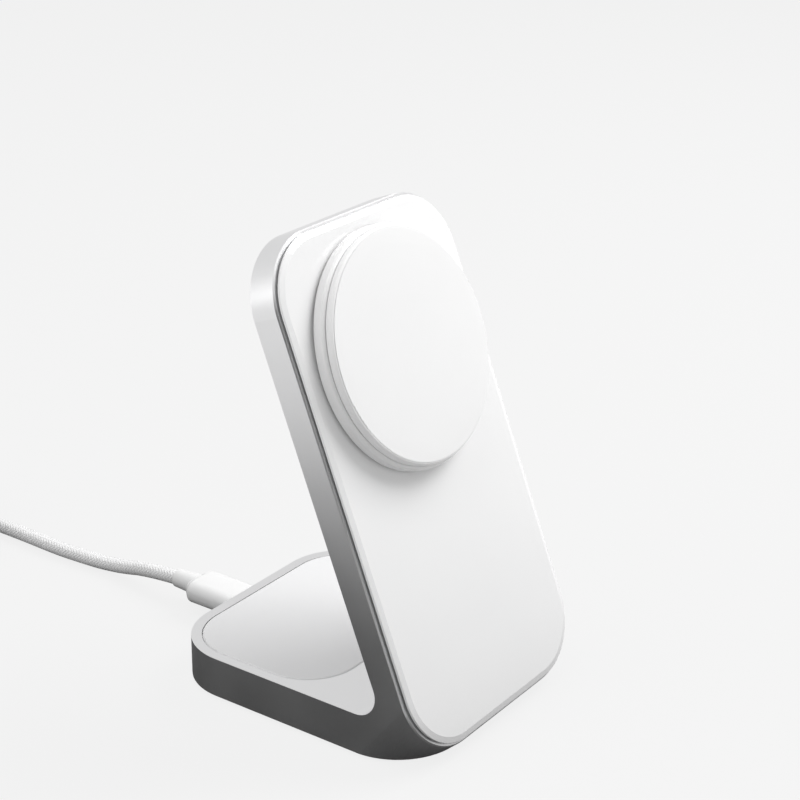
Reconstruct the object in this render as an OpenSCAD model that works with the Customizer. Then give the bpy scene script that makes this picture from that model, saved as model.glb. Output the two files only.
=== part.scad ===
/* [Stand body] */
// Width of the bent metal body
body_w = 65.6; // [62:0.2:74]
// Depth of the base, from the line where the front face meets the table to the rear face
base_d = 76.4; // [72:0.2:92]
// Thickness of the base
base_t = 10; // [9.8:0.1:12]
// Length of the upright along its slope, from the table line to the top edge
upright_l = 122.4; // [119:0.2:136]
// Thickness of the upright
upright_t = 6.9; // [6.6:0.1:8]
// Angle that the upright leans back from the vertical, in degrees
lean = 21.8; // [16:0.2:25]
// Corner radius of the base and of the upright
corner_r = 16; // [14:0.5:18]
// Radius of the inside of the fold
fold_r = 5.5; // [4:0.5:7]
// Height along the slope where the front face starts
toe_s = 2.2; // [1.8:0.1:3]
// Depth along the table where the underside starts
toe_y = 3.4; // [3:0.1:5]
// Bevel round the front edge of the body
rim_bevel = 0.3; // [0.2:0.05:0.4]

/* [Front plate] */
// Inset of the front plate from the edge of the body
plate_inset = 0.8; // [0.5:0.1:1.5]
// Thickness of the front plate
plate_t = 0.9; // [0.8:0.05:1.4]
// Width of the bevel round the front plate
plate_bevel = 1.4; // [0.8:0.1:2]
// Height of the bevel round the front plate
plate_bevel_h = 0.35; // [0.2:0.05:0.5]
// Thickness of the adhesive sheet under the front plate
sheet_t = 0.4; // [0.3:0.05:0.6]
// Inset of the adhesive sheet from the edge of the front plate
sheet_inset = 1; // [0.6:0.1:2]

/* [Charging puck] */
// Height of the puck's centre along the slope
puck_s = 90.2; // [88:0.2:92]
// Outer radius of the puck's housing
puck_r = 28; // [28:0.1:28.6]
// How far the collar that carries the puck stands inside the housing's edge
collar_set = 1.5; // [1.4:0.1:2]
// Wall of the collar
collar_wall = 1.6; // [1.2:0.1:2]
// Floor of the collar
collar_floor = 0.8; // [0.6:0.1:1]
// Air between the front plate and the housing
puck_lift = 0.7; // [0.5:0.1:1.2]
// Height of the housing
housing_h = 2.6; // [2.6:0.1:3.4]
// Wall of the housing
housing_wall = 1.2; // [1:0.1:1.4]
// Floor of the housing
housing_floor = 0.6; // [0.5:0.05:0.7]
// Rounding of the housing's outer edge
housing_round = 0.8; // [0.4:0.1:1]
// Radius of the wire hole in the housing
wire_hole_r = 4; // [3:0.5:5]
// How far the soft pad on the puck's face stands inside the housing's edge
pad_set = 0.9; // [0.6:0.1:1.4]
// Height of the pad above the shadow line
pad_h = 1.85; // [1.5:0.05:2.4]
// Shadow line between the housing and the pad
pad_line = 0.15; // [0.1:0.05:0.2]
// Rounding of the pad's edge
pad_round = 0.9; // [0.5:0.1:1.2]
// Width of the pad's rim round the shallow dish in its face
dish_rim = 4.5; // [3:0.1:7]
// Depth of that dish
dish_depth = 0.1; // [0.06:0.02:0.2]

/* [Coil and magnets] */
// Width of the charging coil's winding
coil_w = 11.2; // [9:0.1:12.5]
// How far the winding stands inside the ferrite shield's edge
coil_set = 0.8; // [0.4:0.1:2]
// Thickness of the charging coil
coil_t = 0.8; // [0.6:0.05:0.9]
// Number of turns in the charging coil
coil_turns = 14; // [10:1:16]
// Gap between the ferrite shield and the magnet ring
shield_gap = 0.8; // [0.5:0.1:1.2]
// Thickness of the ferrite shield
shield_t = 0.6; // [0.4:0.05:0.6]
// Width of the magnet ring
magnet_w = 3.1; // [2.4:0.1:3.3]
// Gap between the magnet ring and the wall of the housing
magnet_side_gap = 0.5; // [0.4:0.1:1]
// Thickness of the magnets
magnet_t = 1.1; // [0.9:0.05:1.2]
// Thickness of the steel ring behind the magnets
yoke_t = 0.4; // [0.3:0.05:0.5]
// Number of magnets
magnet_count = 16; // [12:1:18]
// Gap between neighbouring magnets
magnet_gap = 0.3; // [0.2:0.1:0.8]
// Gap between the round circuit board and the collar round it
puck_board_gap = 0.5; // [0.5:0.1:1.4]
// Distance of the puck's screws from the edge of that board
puck_screw_in = 4.4; // [4:0.1:6]

/* [Base plate] */
// Width of the metal rim round the base plate
base_rim = 2.7; // [2.4:0.1:4]
// Front edge of the base plate, from the table line
base_plate_y = 31.7; // [30:0.2:36]
// Thickness of the base plate
base_plate_t = 0.95; // [0.8:0.05:1.1]
// Thickness of the film that bonds the base plate
film_t = 0.2; // [0.1:0.05:0.3]
// Height that the base plate stands proud of the metal
base_plate_proud = 0.15; // [0.1:0.05:0.3]
// Gap round the base plate
base_plate_gap = 0.15; // [0.1:0.05:0.25]
// Bevel round the base plate
base_plate_bevel = 0.3; // [0.2:0.05:0.4]

/* [Inside the base] */
// Front wall of the pocket, from the table line
pocket_y = 22; // [21:0.2:24]
// Wall left at the sides of the pocket
pocket_side = 4.8; // [4.4:0.1:6]
// Wall left behind the pocket
pocket_rear = 3.4; // [3:0.1:4]
// Metal left above the pocket
ceiling_t = 2.6; // [2.4:0.1:3]
// Thickness of the bottom cover
cover_t = 1.2; // [1:0.1:1.4]
// Width of the ledge that the cover rests on
ledge = 1.5; // [1.2:0.1:2]
// Radius of the posts for the cover's screws
post_r = 2.5; // [2.2:0.1:3]
// Distance of the posts from the walls of the pocket
post_in = 4.5; // [4:0.1:5.5]
// Distance of the rear posts from the side walls of the pocket
rear_post_in = 6; // [5.5:0.1:8]
// Thickness of the circuit board
board_t = 1; // [0.8:0.1:1.2]
// Width of the circuit board
board_w = 28; // [26:0.5:29]
// Length of the circuit board
board_l = 26; // [24:0.5:27]
// Radius of the posts for the board's screws
board_post_r = 2.2; // [2:0.1:2.4]
// Distance of the board's screws from its edges
board_post_in = 3.2; // [3:0.1:3.6]
// Gap between the ballast and what it lies beside
ballast_gap = 0.4; // [0.3:0.1:0.8]
// Gap on each side of the circuit board in its bay in the ballast
bay_side_gap = 1; // [0.6:0.1:2]

/* [Socket and wiring] */
// Height of the socket's centre above the underside of the body
socket_z = 4.8; // [4.4:0.1:4.9]
// Width inside the socket
socket_w = 8.36; // [8.34:0.01:8.4]
// Height inside the socket
socket_h = 2.56; // [2.54:0.01:2.6]
// Sheet thickness of the socket
socket_wall = 0.3; // [0.25:0.05:0.35]
// Length of the socket
socket_l = 7.4; // [7.2:0.1:8]
// Depth of the socket's mouth behind the rear face
socket_recess = 0.3; // [0.2:0.1:0.5]
// Gap between the socket and the slot in the rear wall
slot_gap = 0.15; // [0.1:0.05:0.25]
// Width of the contact tongue
tongue_w = 6.6; // [6.4:0.05:6.7]
// Thickness of the contact tongue
tongue_t = 0.7; // [0.6:0.05:0.75]
// Length of the contact tongue
tongue_l = 5; // [4.6:0.1:5.4]
// Diameter of the inner lead
lead_d = 2.2; // [1.8:0.1:2.4]
// Diameter of the bore through the fold
fold_bore_d = 4; // [3.6:0.1:4.4]
// Height of that bore above the underside of the body
fold_bore_z = 5.2; // [5:0.1:5.4]
// Width of the channel up the front face
channel_w = 6; // [5:0.5:8]
// Depth of the channel up the front face
channel_depth = 3.6; // [3.4:0.1:3.8]
// Lower end of the channel, along the slope
channel_s = 5; // [4.8:0.1:5.4]

/* [Foot] */
// Height of the rubber foot below the body
foot_t = 0.6; // [0.5:0.1:1.2]
// Inset of the rubber foot from the edge of the base
foot_inset = 3; // [2.5:0.1:4]
// Front edge of the rubber foot, from the table line
foot_y = 7; // [6:0.2:9]

/* [Lead and plugs] */
// Diameter of the braided lead
cord_d = 3.8; // [3.8:0.1:3.8]
// Width of a plug
plug_w = 11.4; // [10:0.1:12]
// Height of a plug
plug_h = 6; // [5:0.1:6.4]
// Length of a plug's grip
plug_l = 18.4; // [16:0.1:22]
// Corner radius of a plug's grip
plug_r = 2.8; // [2:0.1:2.9]
// Bevel at the end of a plug's grip
plug_bevel = 0.8; // [0.4:0.1:1.2]
// Width of a plug's metal shell
tip_w = 8.26; // [8.2:0.01:8.28]
// Height of a plug's metal shell
tip_h = 2.4; // [2.3:0.01:2.42]
// Length of a plug's metal shell
tip_l = 6.2; // [5.6:0.1:6.4]
// Width of the hollow in a plug's metal shell
tip_in_w = 7; // [6.9:0.05:7.1]
// Height of the hollow in a plug's metal shell
tip_in_h = 1.1; // [1:0.05:1.2]
// Gap between a plug's grip and the rear face
plug_gap = 0.1; // [0.05:0.05:0.3]
// Radius of the collar on a plug, at the grip
strain_r1 = 2.8; // [2.4:0.1:2.9]
// Radius of the collar on a plug, at the lead
strain_r2 = 2.4; // [2:0.1:2.6]
// Length of the collar on a plug
strain_l = 5; // [4:0.5:7]

/* [Hidden] */
$fn = 96;

silver = "#d4d5d8";
white = "#f4f4f4";
pale = "#e4e4e6";
black = "#1c1c1e";
steel = "#9a9ca0";
copper = "#b8733a";
board_green = "#1f5a3c";

// Thin layer that an outline has in a blend
skin = 0.02;
// Sides of the corner arcs in a blend
blend_fn = 64;
// How far the blend, and the round top corners, stand proud before the sides are cut
toe_proud = 0.05;
arc_proud = 0.01;
// How far the blended toe reaches along the slope and along the table
toe_reach = 2.5 * corner_r;
// Cutters pass the face that they cut by this much
over = 1;

// The front face
plate_r = corner_r - plate_inset;
plate_w = body_w - 2 * plate_inset;
plate_l = upright_l - toe_s - 2 * plate_inset;
plate_mid = (upright_l + toe_s) / 2;
plate_top = sheet_t + plate_t;

// The puck's rounds, from the housing inwards
collar_r = puck_r - collar_set;
pad_r = puck_r - pad_set;
dish_r = pad_r - dish_rim;
dish_edge = 0.3;
magnet_r2 = puck_r - housing_wall - magnet_side_gap;
magnet_r1 = magnet_r2 - magnet_w;
shield_r = magnet_r1 - shield_gap;
coil_r2 = shield_r - coil_set;
coil_r1 = coil_r2 - coil_w;
coil_wire_share = 0.8;
puck_board_r = collar_r - collar_wall - puck_board_gap;
puck_screw_pcr = puck_board_r - puck_screw_in;

// The puck's levels above the front face
collar_bed = 0.6;
collar_base = -channel_depth - collar_bed;
housing_base = plate_top + puck_lift;
housing_top = housing_base + housing_h;
layer_base = housing_base + housing_floor;
pad_base = housing_top + pad_line;
pad_top = pad_base + pad_h;
housing_in_r = puck_r - housing_wall;
collar_gap = 0.15;
plate_hole_gap = 0.3;
spigot_h = 1;
spigot_gap = 0.2;
pad_seat_gap = 0.15;
puck_board_t = 1;
puck_post_r = 2.6;
puck_post_h = 2.8;
puck_board_n = collar_base + collar_floor + puck_post_h;
screw_r = 0.9;
screw_hole_gap = 0.15;
head_r = 1.7;
head_h = 0.7;
socket_drive_r = 0.8;
socket_drive_depth = 0.35;
puck_screw_bite = 1.5;
notch_over = 0.2;

// The lead's block on the round board, and the chips: place as a share of its radius, width, length
lead_block = [5, 4, 2];
puck_chip_h = 0.6;
puck_chips = [[0.33, 0.25, 4, 3], [-0.37, 0.2, 3, 3], [-0.08, 0.37, 4, 2], [0.37, -0.25, 3, 4],
    [-0.33, -0.29, 4, 3]];

// The base
front_y = (toe_s + plate_inset) * sin(lean) - (plate_top - plate_bevel_h) * cos(lean);
mid_y = (front_y + base_d) / 2;
pocket_w = body_w - 2 * pocket_side;
pocket_l = base_d - pocket_rear - pocket_y;
pocket_r = 8;
pocket_top = base_t - ceiling_t;
base_plate_w = body_w - 2 * base_rim;
base_plate_l = base_d - base_rim - base_plate_y;
base_plate_r = corner_r - base_rim;
base_plate_z = base_t + base_plate_proud - base_plate_t;
post_y1 = pocket_y + post_in;
post_y2 = base_d - pocket_rear - post_in;
post_x1 = pocket_w / 2 - post_in;
post_x2 = pocket_w / 2 - rear_post_in;
post_list = [[-post_x1, post_y1], [post_x1, post_y1], [-post_x2, post_y2], [post_x2, post_y2]];
cover_gap = 0.15;
cover_screw_r = 1;
cover_screw_bite = 4.5;
socket_room = 4.8;
board_top = socket_z - socket_h / 2 - socket_wall;
board_rear = base_d - pocket_rear - ballast_gap;
board_post_y1 = board_rear - board_l + board_post_in;
board_post_y2 = board_rear - board_post_in - socket_room;
board_post_list = [for (x = [-1, 1], y = [board_post_y1, board_post_y2])
    [x * (board_w / 2 - board_post_in), y]];
board_screw_bite = 3;
socket_y = base_d - socket_recess - socket_l;
lead_stop_in = 4;
lead_stop_y = board_rear - board_l + lead_stop_in;
lead_n = -1.9;
lead_bend_r = 2.4;
lead_bend_steps = 8;
lead_end_in = 8;
lead_end_s = puck_s - lead_end_in;
bay_gap = 0.6;
bay_w = board_w + 2 * bay_side_gap;
groove_w = 4.4;

// The lead's block on the square board, and the chips: place as a share of its size, width, length
board_block = [6, 3];
board_block_over = 0.2;
board_chip_h = 1;
board_chips = [[-0.21, 0.64, 4, 4], [0.21, 0.6, 5, 4], [0, 0.44, 3, 2], [-0.14, 0.37, 2, 2],
    [0.32, 0.46, 2, 2]];

// The lead and its plugs, in the frame of the whole stand
rear_y = base_d - mid_y;
plug_z = socket_z + foot_t;
cord_r = cord_d / 2;
cord_start = [0, rear_y + plug_gap + plug_l + strain_l, plug_z];
cord_points = [
    [0, 66, 5.1], [0, 71, 4.6], [0, 76, 3.9], [-0.2, 81, 2.9], [-0.5, 86, 2.3], [-0.8, 91, 2],
    [-1.1, 97, 1.9], [-1.4, 103, 1.9], [-1.3, 109, 1.9], [-1.1, 115, 1.9], [-1, 121, 1.9],
    [-1, 128, 1.9], [-1, 135, 1.9], [-1, 142, 1.9]
];
coil_mid_r = 19.2;
coil_rows = 3;
coil_layers = 4;
coil_x = -24;
coil_y = 149;
coil_round = 1.8;
coil_tall = coil_layers * cord_d;
tie_t = 0.8;
tie_angle = 30;
tie_at = 200;
coil_overlap = 3;
far_plug_at = 90;
far_plug_r = coil_mid_r - cord_d;
rise_angle = 70;

// Places on the sloping front face: s runs up the slope, n points out of it
module on_front(s = 0, n = 0) {
    rotate([90 - lean, 0, 0])
        translate([0, s, n])
            children();
}

function front_point(s, n) = [0, s * sin(lean) - n * cos(lean), s * cos(lean) + n * sin(lean)];

// The stand's own frame, raised on its foot and centred front to back
module stand() {
    translate([0, -mid_y, foot_t])
        children();
}

module round_rect(w, l, r) {
    square([w - 2 * r, l], center = true);
    square([w, l - 2 * r], center = true);
    for (x = [-1, 1], y = [-1, 1])
        translate([x * (w / 2 - r), y * (l / 2 - r)])
            circle(r);
}

module stadium(w, h) {
    square([w - h, h], center = true);
    for (x = [-1, 1])
        translate([x * (w - h) / 2, 0])
            circle(h / 2);
}

// A rounded plate whose upper edge is bevelled all round
module bevelled_plate(w, l, r, h, bevel, bevel_h) {
    flat_h = h - bevel_h;
    if (flat_h > 0)
        linear_extrude(flat_h)
            round_rect(w, l, r);
    translate([0, 0, flat_h]) {
        for (x = [-1, 1], y = [-1, 1])
            translate([x * (w / 2 - r), y * (l / 2 - r), 0])
                cylinder(r1 = r, r2 = r - bevel, h = bevel_h);
        bevelled_bar(w - 2 * r, l, bevel, bevel_h);
        rotate([0, 0, 90])
            bevelled_bar(l - 2 * r, w, bevel, bevel_h);
    }
}

module bevelled_bar(along, across, bevel, bevel_h) {
    rotate([90, 0, 90])
        linear_extrude(along, center = true)
            polygon([[-across / 2, 0], [across / 2, 0],
                [across / 2 - bevel, bevel_h], [-across / 2 + bevel, bevel_h]]);
}

function side_point(s, n) = [s * sin(lean) - n * cos(lean), s * cos(lean) + n * sin(lean)];

// The side view of the bent plate, with the round inside the fold; its ends are cut by the outlines
module fold_profile() {
    fold_y = upright_t / cos(lean) + base_t * tan(lean);
    round_at = [fold_y + fold_r * tan(45 + lean / 2), base_t + fold_r];
    difference() {
        polygon([[0, 0], [base_d + over, 0], [base_d + over, base_t],
            [round_at[0], base_t], round_at, round_at - fold_r * [cos(lean), -sin(lean)],
            side_point(upright_l + over, -upright_t), side_point(upright_l + over, 0)]);
        translate(round_at)
            circle(fold_r);
    }
}

// The blend of the round front corners into the round plan of the base, a little proud of both sides
module toe() {
    corner_x = body_w / 2 - corner_r;
    half_w = body_w / 2 + toe_proud;
    hull() {
        on_front(0, -rim_bevel) {
            for (x = [-1, 1])
                translate([x * corner_x, toe_s + corner_r, 0])
                    cylinder(r1 = corner_r + toe_proud, r2 = corner_r + toe_proud - 2 * rim_bevel,
                        h = 2 * rim_bevel, $fn = blend_fn);
            translate([-half_w, toe_reach, -skin])
                cube([2 * half_w, 1, skin]);
            translate([-half_w + 2 * rim_bevel, toe_reach, 2 * rim_bevel - skin])
                cube([2 * (half_w - 2 * rim_bevel), 1, skin]);
        }
        translate([0, 0, -over - skin]) {
            for (x = [-1, 1])
                translate([x * corner_x, toe_y + over + corner_r, 0])
                    cylinder(r = corner_r + toe_proud, h = skin, $fn = blend_fn);
            translate([-half_w, toe_reach, 0])
                cube([2 * half_w, 1, skin]);
        }
    }
}

// A slab outline, rounded at its far corners
module tongue(w, start, end, r) {
    translate([-w / 2, start])
        square([w, end - start - r]);
    translate([-w / 2 + r, start])
        square([w - 2 * r, end - start]);
    for (x = [-1, 1])
        translate([x * (w / 2 - r), end - r])
            circle(r);
}

// What the outline of the base leaves, seen from above
module plan_envelope() {
    translate([0, 0, -over])
        linear_extrude(upright_l + 2 * over)
            tongue(body_w, -base_d, base_d, corner_r);
}

// What the round top corners and the bevel of the front edge leave, seen square to the front
module front_envelope() {
    arc_w = body_w + 2 * arc_proud;
    on_front(0, -2 * base_d)
        linear_extrude(2 * base_d + over) {
            tongue(arc_w, -base_d, upright_l, corner_r);
            translate([-body_w / 2 - over, -base_d])
                square([body_w + 2 * over, base_d + upright_l - corner_r]);
        }
}

module bevel_envelope() {
    grown_w = body_w + 2 * arc_proud + 2 * over;
    rise = rim_bevel + over;
    on_front((upright_l - base_d) / 2, -2 * base_d)
        bevelled_plate(grown_w, upright_l + base_d + 2 * over, corner_r + over,
            2 * base_d + rim_bevel, rise + rim_bevel, rise + rim_bevel);
}

module upright() {
    on_front(toe_s + corner_r + over, -upright_t - over)
        translate([-body_w / 2 - over, 0, 0])
            cube([body_w + 2 * over, upright_l, upright_t + 2 * over]);
}

module base_slab() {
    start = toe_y + corner_r + over;
    translate([-body_w / 2 - over, start, -over])
        cube([body_w + 2 * over, base_d, base_t + 2 * over]);
}

module pocket_outline(grow = 0) {
    translate([0, pocket_y + pocket_l / 2])
        round_rect(pocket_w + 2 * grow, pocket_l + 2 * grow, pocket_r + grow);
}

module puck_screw_places() {
    for (a = [90, 210, 330])
        rotate([0, 0, a])
            translate([puck_screw_pcr, 0, 0])
                children();
}

module body() {
    color(silver)
        stand()
            difference() {
                intersection() {
                    rotate([90, 0, 90])
                        linear_extrude(body_w + 4 * over, center = true)
                            fold_profile();
                    plan_envelope();
                    front_envelope();
                    bevel_envelope();
                    union() {
                        toe();
                        upright();
                        base_slab();
                    }
                }
                on_front(puck_s, collar_base)
                    cylinder(r = collar_r + collar_gap, h = -collar_base + over);
                on_front(channel_s, -channel_depth)
                    translate([-channel_w / 2, 0, 0])
                        cube([channel_w, puck_s - channel_s, channel_depth + over]);
                on_front(puck_s, collar_base - puck_screw_bite)
                    puck_screw_places()
                        cylinder(r = screw_r, h = puck_screw_bite + over, $fn = 32);
                translate([0, toe_y, fold_bore_z])
                    rotate([-90, 0, 0])
                        cylinder(d = fold_bore_d, h = pocket_y - toe_y + over, $fn = 48);
                base_pocket();
                translate([0, 0, -over])
                    linear_extrude(cover_t + over)
                        pocket_outline(ledge);
                translate([0, base_d + over, socket_z])
                    rotate([90, 0, 0])
                        linear_extrude(pocket_rear + 2 * over)
                            stadium(socket_w + 2 * (socket_wall + slot_gap),
                                socket_h + 2 * (socket_wall + slot_gap));
                translate([0, base_plate_y + base_plate_l / 2, base_plate_z - film_t])
                    linear_extrude(base_t)
                        round_rect(base_plate_w + 2 * base_plate_gap, base_plate_l + 2 * base_plate_gap,
                            base_plate_r + base_plate_gap);
            }
}

// The pocket under the base, less the posts that hang from its ceiling
module base_pocket() {
    difference() {
        linear_extrude(pocket_top)
            pocket_outline();
        for (p = post_list)
            translate([p[0], p[1], cover_t])
                cylinder(r = post_r, h = pocket_top - cover_t + over, $fn = 48);
        for (p = board_post_list)
            translate([p[0], p[1], board_top])
                cylinder(r = board_post_r, h = pocket_top - board_top + over, $fn = 48);
    }
    for (p = post_list)
        translate([p[0], p[1], 0])
            cylinder(r = cover_screw_r, h = cover_t + cover_screw_bite, $fn = 32);
    for (p = board_post_list)
        translate([p[0], p[1], board_top - over])
            cylinder(r = screw_r, h = board_screw_bite + over, $fn = 32);
}

module front_plate() {
    color(white)
        stand()
            difference() {
                on_front(plate_mid, sheet_t)
                    bevelled_plate(plate_w, plate_l, plate_r, plate_t, plate_bevel, plate_bevel_h);
                on_front(puck_s, 0)
                    cylinder(r = collar_r + plate_hole_gap, h = plate_top + over);
            }
}

module plate_adhesive() {
    color(black)
        stand()
            difference() {
                on_front(plate_mid, 0)
                    linear_extrude(sheet_t)
                        round_rect(plate_w - 2 * sheet_inset, plate_l - 2 * sheet_inset,
                            plate_r - sheet_inset);
                on_front(puck_s, -over)
                    cylinder(r = collar_r + 2 * plate_hole_gap, h = sheet_t + 2 * over);
            }
}

// A screw whose head stands on the level z = 0 and whose shank runs down from it
module screw(shank_r, shank_l, top_r, top_h) {
    difference() {
        union() {
            cylinder(r = top_r, h = top_h, $fn = 32);
            translate([0, 0, -shank_l])
                cylinder(r = shank_r, h = shank_l, $fn = 32);
        }
        translate([0, 0, top_h - socket_drive_depth])
            cylinder(r = socket_drive_r, h = top_h, $fn = 6);
    }
}

module puck_collar() {
    in_r = collar_r - collar_wall;
    color(steel)
        stand()
            on_front(puck_s, collar_base)
                difference() {
                    union() {
                        difference() {
                            cylinder(r = collar_r, h = housing_base - collar_base);
                            translate([0, 0, collar_floor])
                                cylinder(r = in_r, h = housing_base - collar_base);
                        }
                        puck_screw_places()
                            cylinder(r = puck_post_r, h = collar_floor + puck_post_h, $fn = 48);
                    }
                    puck_screw_places()
                        translate([0, 0, -over])
                            cylinder(r = screw_r + screw_hole_gap,
                                h = puck_board_n - collar_base + 2 * over, $fn = 32);
                    translate([-channel_w / 2, -collar_r - over, collar_floor])
                        cube([channel_w, collar_wall + 2 * over,
                            channel_depth - collar_floor + notch_over]);
                }
}

module puck_board() {
    color(board_green)
        stand()
            on_front(puck_s, puck_board_n) {
                difference() {
                    cylinder(r = puck_board_r, h = puck_board_t);
                    puck_screw_places()
                        translate([0, 0, -over])
                            cylinder(r = screw_r + screw_hole_gap, h = puck_board_t + 2 * over, $fn = 32);
                }
                translate([-lead_block[0] / 2, -lead_end_in, -lead_block[2]])
                    cube(lead_block);
                for (c = puck_chips)
                    translate([c[0] * puck_board_r - c[2] / 2, c[1] * puck_board_r - c[3] / 2,
                        puck_board_t])
                        cube([c[2], c[3], puck_chip_h]);
            }
}

module puck_screws() {
    color(steel)
        stand()
            on_front(puck_s, puck_board_n + puck_board_t)
                puck_screw_places()
                    screw(screw_r, puck_board_n + puck_board_t - collar_base + puck_screw_bite,
                        head_r, head_h);
}

module puck_housing() {
    color(white)
        stand()
            on_front(puck_s, housing_base)
                rotate_extrude()
                    difference() {
                        union() {
                            translate([wire_hole_r, 0])
                                square([puck_r - wire_hole_r, housing_h - housing_round]);
                            translate([wire_hole_r, 0])
                                square([puck_r - housing_round - wire_hole_r, housing_h]);
                            translate([puck_r - housing_round, housing_h - housing_round])
                                circle(housing_round, $fn = 48);
                            translate([wire_hole_r, -spigot_h])
                                square([collar_r - collar_wall - spigot_gap - wire_hole_r,
                                    spigot_h + over / 2]);
                        }
                        translate([0, housing_floor])
                            square([housing_in_r, housing_h]);
                        translate([0, -over - spigot_h])
                            square([collar_r - collar_wall - spigot_gap - housing_wall, over + spigot_h]);
                    }
}

module puck_pad() {
    seat = pad_base - layer_base - yoke_t - magnet_t - pad_seat_gap;
    color(white)
        stand()
            on_front(puck_s, pad_base)
                rotate_extrude()
                    difference() {
                        union() {
                            square([pad_r, pad_h - pad_round]);
                            square([pad_r - pad_round, pad_h]);
                            translate([pad_r - pad_round, pad_h - pad_round])
                                circle(pad_round, $fn = 48);
                            translate([0, -seat])
                                square([housing_in_r - pad_seat_gap, seat + pad_round]);
                        }
                        polygon([[0, pad_h - dish_depth], [dish_r - dish_edge, pad_h - dish_depth],
                            [dish_r + dish_edge, pad_h + dish_depth], [0, pad_h + dish_depth]]);
                    }
}

module coil_shield() {
    color(black)
        stand()
            on_front(puck_s, layer_base)
                difference() {
                    cylinder(r = shield_r, h = shield_t);
                    translate([0, 0, -over])
                        cylinder(r = wire_hole_r, h = shield_t + 2 * over);
                }
}

module charging_coil() {
    pitch = (coil_r2 - coil_r1) / coil_turns;
    color(copper)
        stand()
            on_front(puck_s, layer_base + shield_t)
                rotate_extrude() {
                    translate([coil_r1, 0])
                        square([coil_r2 - coil_r1, coil_t / 2]);
                    for (i = [0:coil_turns - 1])
                        translate([coil_r1 + i * pitch, 0])
                            square([pitch * coil_wire_share, coil_t]);
                }
}

module magnet_yoke() {
    color(steel)
        stand()
            on_front(puck_s, layer_base)
                difference() {
                    cylinder(r = magnet_r2, h = yoke_t);
                    translate([0, 0, -over])
                        cylinder(r = magnet_r1, h = yoke_t + 2 * over);
                }
}

module alignment_magnets() {
    step = 360 / magnet_count;
    gap_angle = magnet_gap / magnet_r1 * 180 / PI;
    color(steel)
        stand()
            on_front(puck_s, layer_base + yoke_t)
                for (i = [0:magnet_count - 1])
                    rotate([0, 0, i * step + gap_angle / 2])
                        rotate_extrude(angle = step - gap_angle)
                            translate([magnet_r1, 0])
                                square([magnet_r2 - magnet_r1, magnet_t]);
}

module base_plate() {
    color(pale)
        stand()
            translate([0, base_plate_y + base_plate_l / 2, base_plate_z])
                bevelled_plate(base_plate_w, base_plate_l, base_plate_r, base_plate_t,
                    base_plate_bevel, base_plate_bevel);
}

module base_plate_film() {
    color(black)
        stand()
            translate([0, base_plate_y + base_plate_l / 2, base_plate_z - film_t])
                linear_extrude(film_t)
                    round_rect(base_plate_w, base_plate_l, base_plate_r);
}

module ballast_weight() {
    bay_front = board_rear - board_l - bay_gap;
    color(steel)
        stand()
            difference() {
                translate([0, 0, cover_t])
                    linear_extrude(pocket_top - cover_t)
                        pocket_outline(-ballast_gap);
                for (p = post_list)
                    translate([p[0], p[1], 0])
                        cylinder(r = post_r + ballast_gap, h = base_t, $fn = 48);
                translate([-bay_w / 2, bay_front, 0])
                    cube([bay_w, base_d - bay_front, base_t]);
                translate([-groove_w / 2, 0, fold_bore_z - groove_w / 2])
                    cube([groove_w, bay_front + over, base_t]);
            }
}

module power_board() {
    color(board_green)
        stand() {
            difference() {
                translate([-board_w / 2, board_rear - board_l, board_top - board_t])
                    cube([board_w, board_l, board_t]);
                for (p = board_post_list)
                    translate([p[0], p[1], 0])
                        cylinder(r = screw_r + screw_hole_gap, h = base_t, $fn = 32);
            }
            translate([-board_block[0] / 2, lead_stop_y, board_top])
                cube([board_block[0], board_block[1],
                    fold_bore_z - board_top + lead_d / 2 + board_block_over]);
            for (c = board_chips)
                translate([c[0] * board_w - c[2] / 2, board_rear - c[1] * board_l - c[3] / 2, board_top])
                    cube([c[2], c[3], board_chip_h]);
        }
}

module board_screws() {
    color(steel)
        stand()
            for (p = board_post_list)
                translate([p[0], p[1], board_top - board_t])
                    mirror([0, 0, 1])
                        screw(screw_r, board_t + board_screw_bite, head_r, head_h);
}

module socket_shell() {
    color(steel)
        stand()
            translate([0, socket_y, socket_z])
                rotate([-90, 0, 0])
                    difference() {
                        linear_extrude(socket_l)
                            stadium(socket_w + 2 * socket_wall, socket_h + 2 * socket_wall);
                        translate([0, 0, 2 * socket_wall])
                            linear_extrude(socket_l)
                                stadium(socket_w, socket_h);
                    }
}

module socket_tongue() {
    color(black)
        stand()
            translate([-tongue_w / 2, socket_y + 2 * socket_wall, socket_z - tongue_t / 2])
                cube([tongue_w, tongue_l, tongue_t]);
}

module inner_lead() {
    corner_s = (fold_bore_z - lead_n * sin(lean)) / cos(lean);
    bend_y = corner_s * sin(lean) - lead_n * cos(lean) + lead_bend_r * tan(45 + lean / 2);
    path = concat([[0, lead_stop_y, fold_bore_z]],
        [for (k = [0:lead_bend_steps]) let (a = (90 + lean) * k / lead_bend_steps)
            [0, bend_y - lead_bend_r * sin(a), fold_bore_z + lead_bend_r * (1 - cos(a))]],
        [front_point(lead_end_s, lead_n)]);
    color(black)
        stand()
            tube(path, [for (p = path) [1, 0, 0]], lead_d / 2);
}

module bottom_cover() {
    color(black)
        stand()
            difference() {
                linear_extrude(cover_t)
                    pocket_outline(ledge - cover_gap);
                for (p = post_list)
                    translate([p[0], p[1], 0]) {
                        translate([0, 0, -over])
                            cylinder(r = cover_screw_r + screw_hole_gap, h = cover_t + 2 * over, $fn = 32);
                        translate([0, 0, -over])
                            cylinder(r = head_r + screw_hole_gap, h = over + head_h, $fn = 32);
                    }
            }
}

module cover_screws() {
    color(steel)
        stand()
            for (p = post_list)
                translate([p[0], p[1], head_h])
                    mirror([0, 0, 1])
                        screw(cover_screw_r, cover_t - head_h + cover_screw_bite, head_r, head_h);
}

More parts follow.
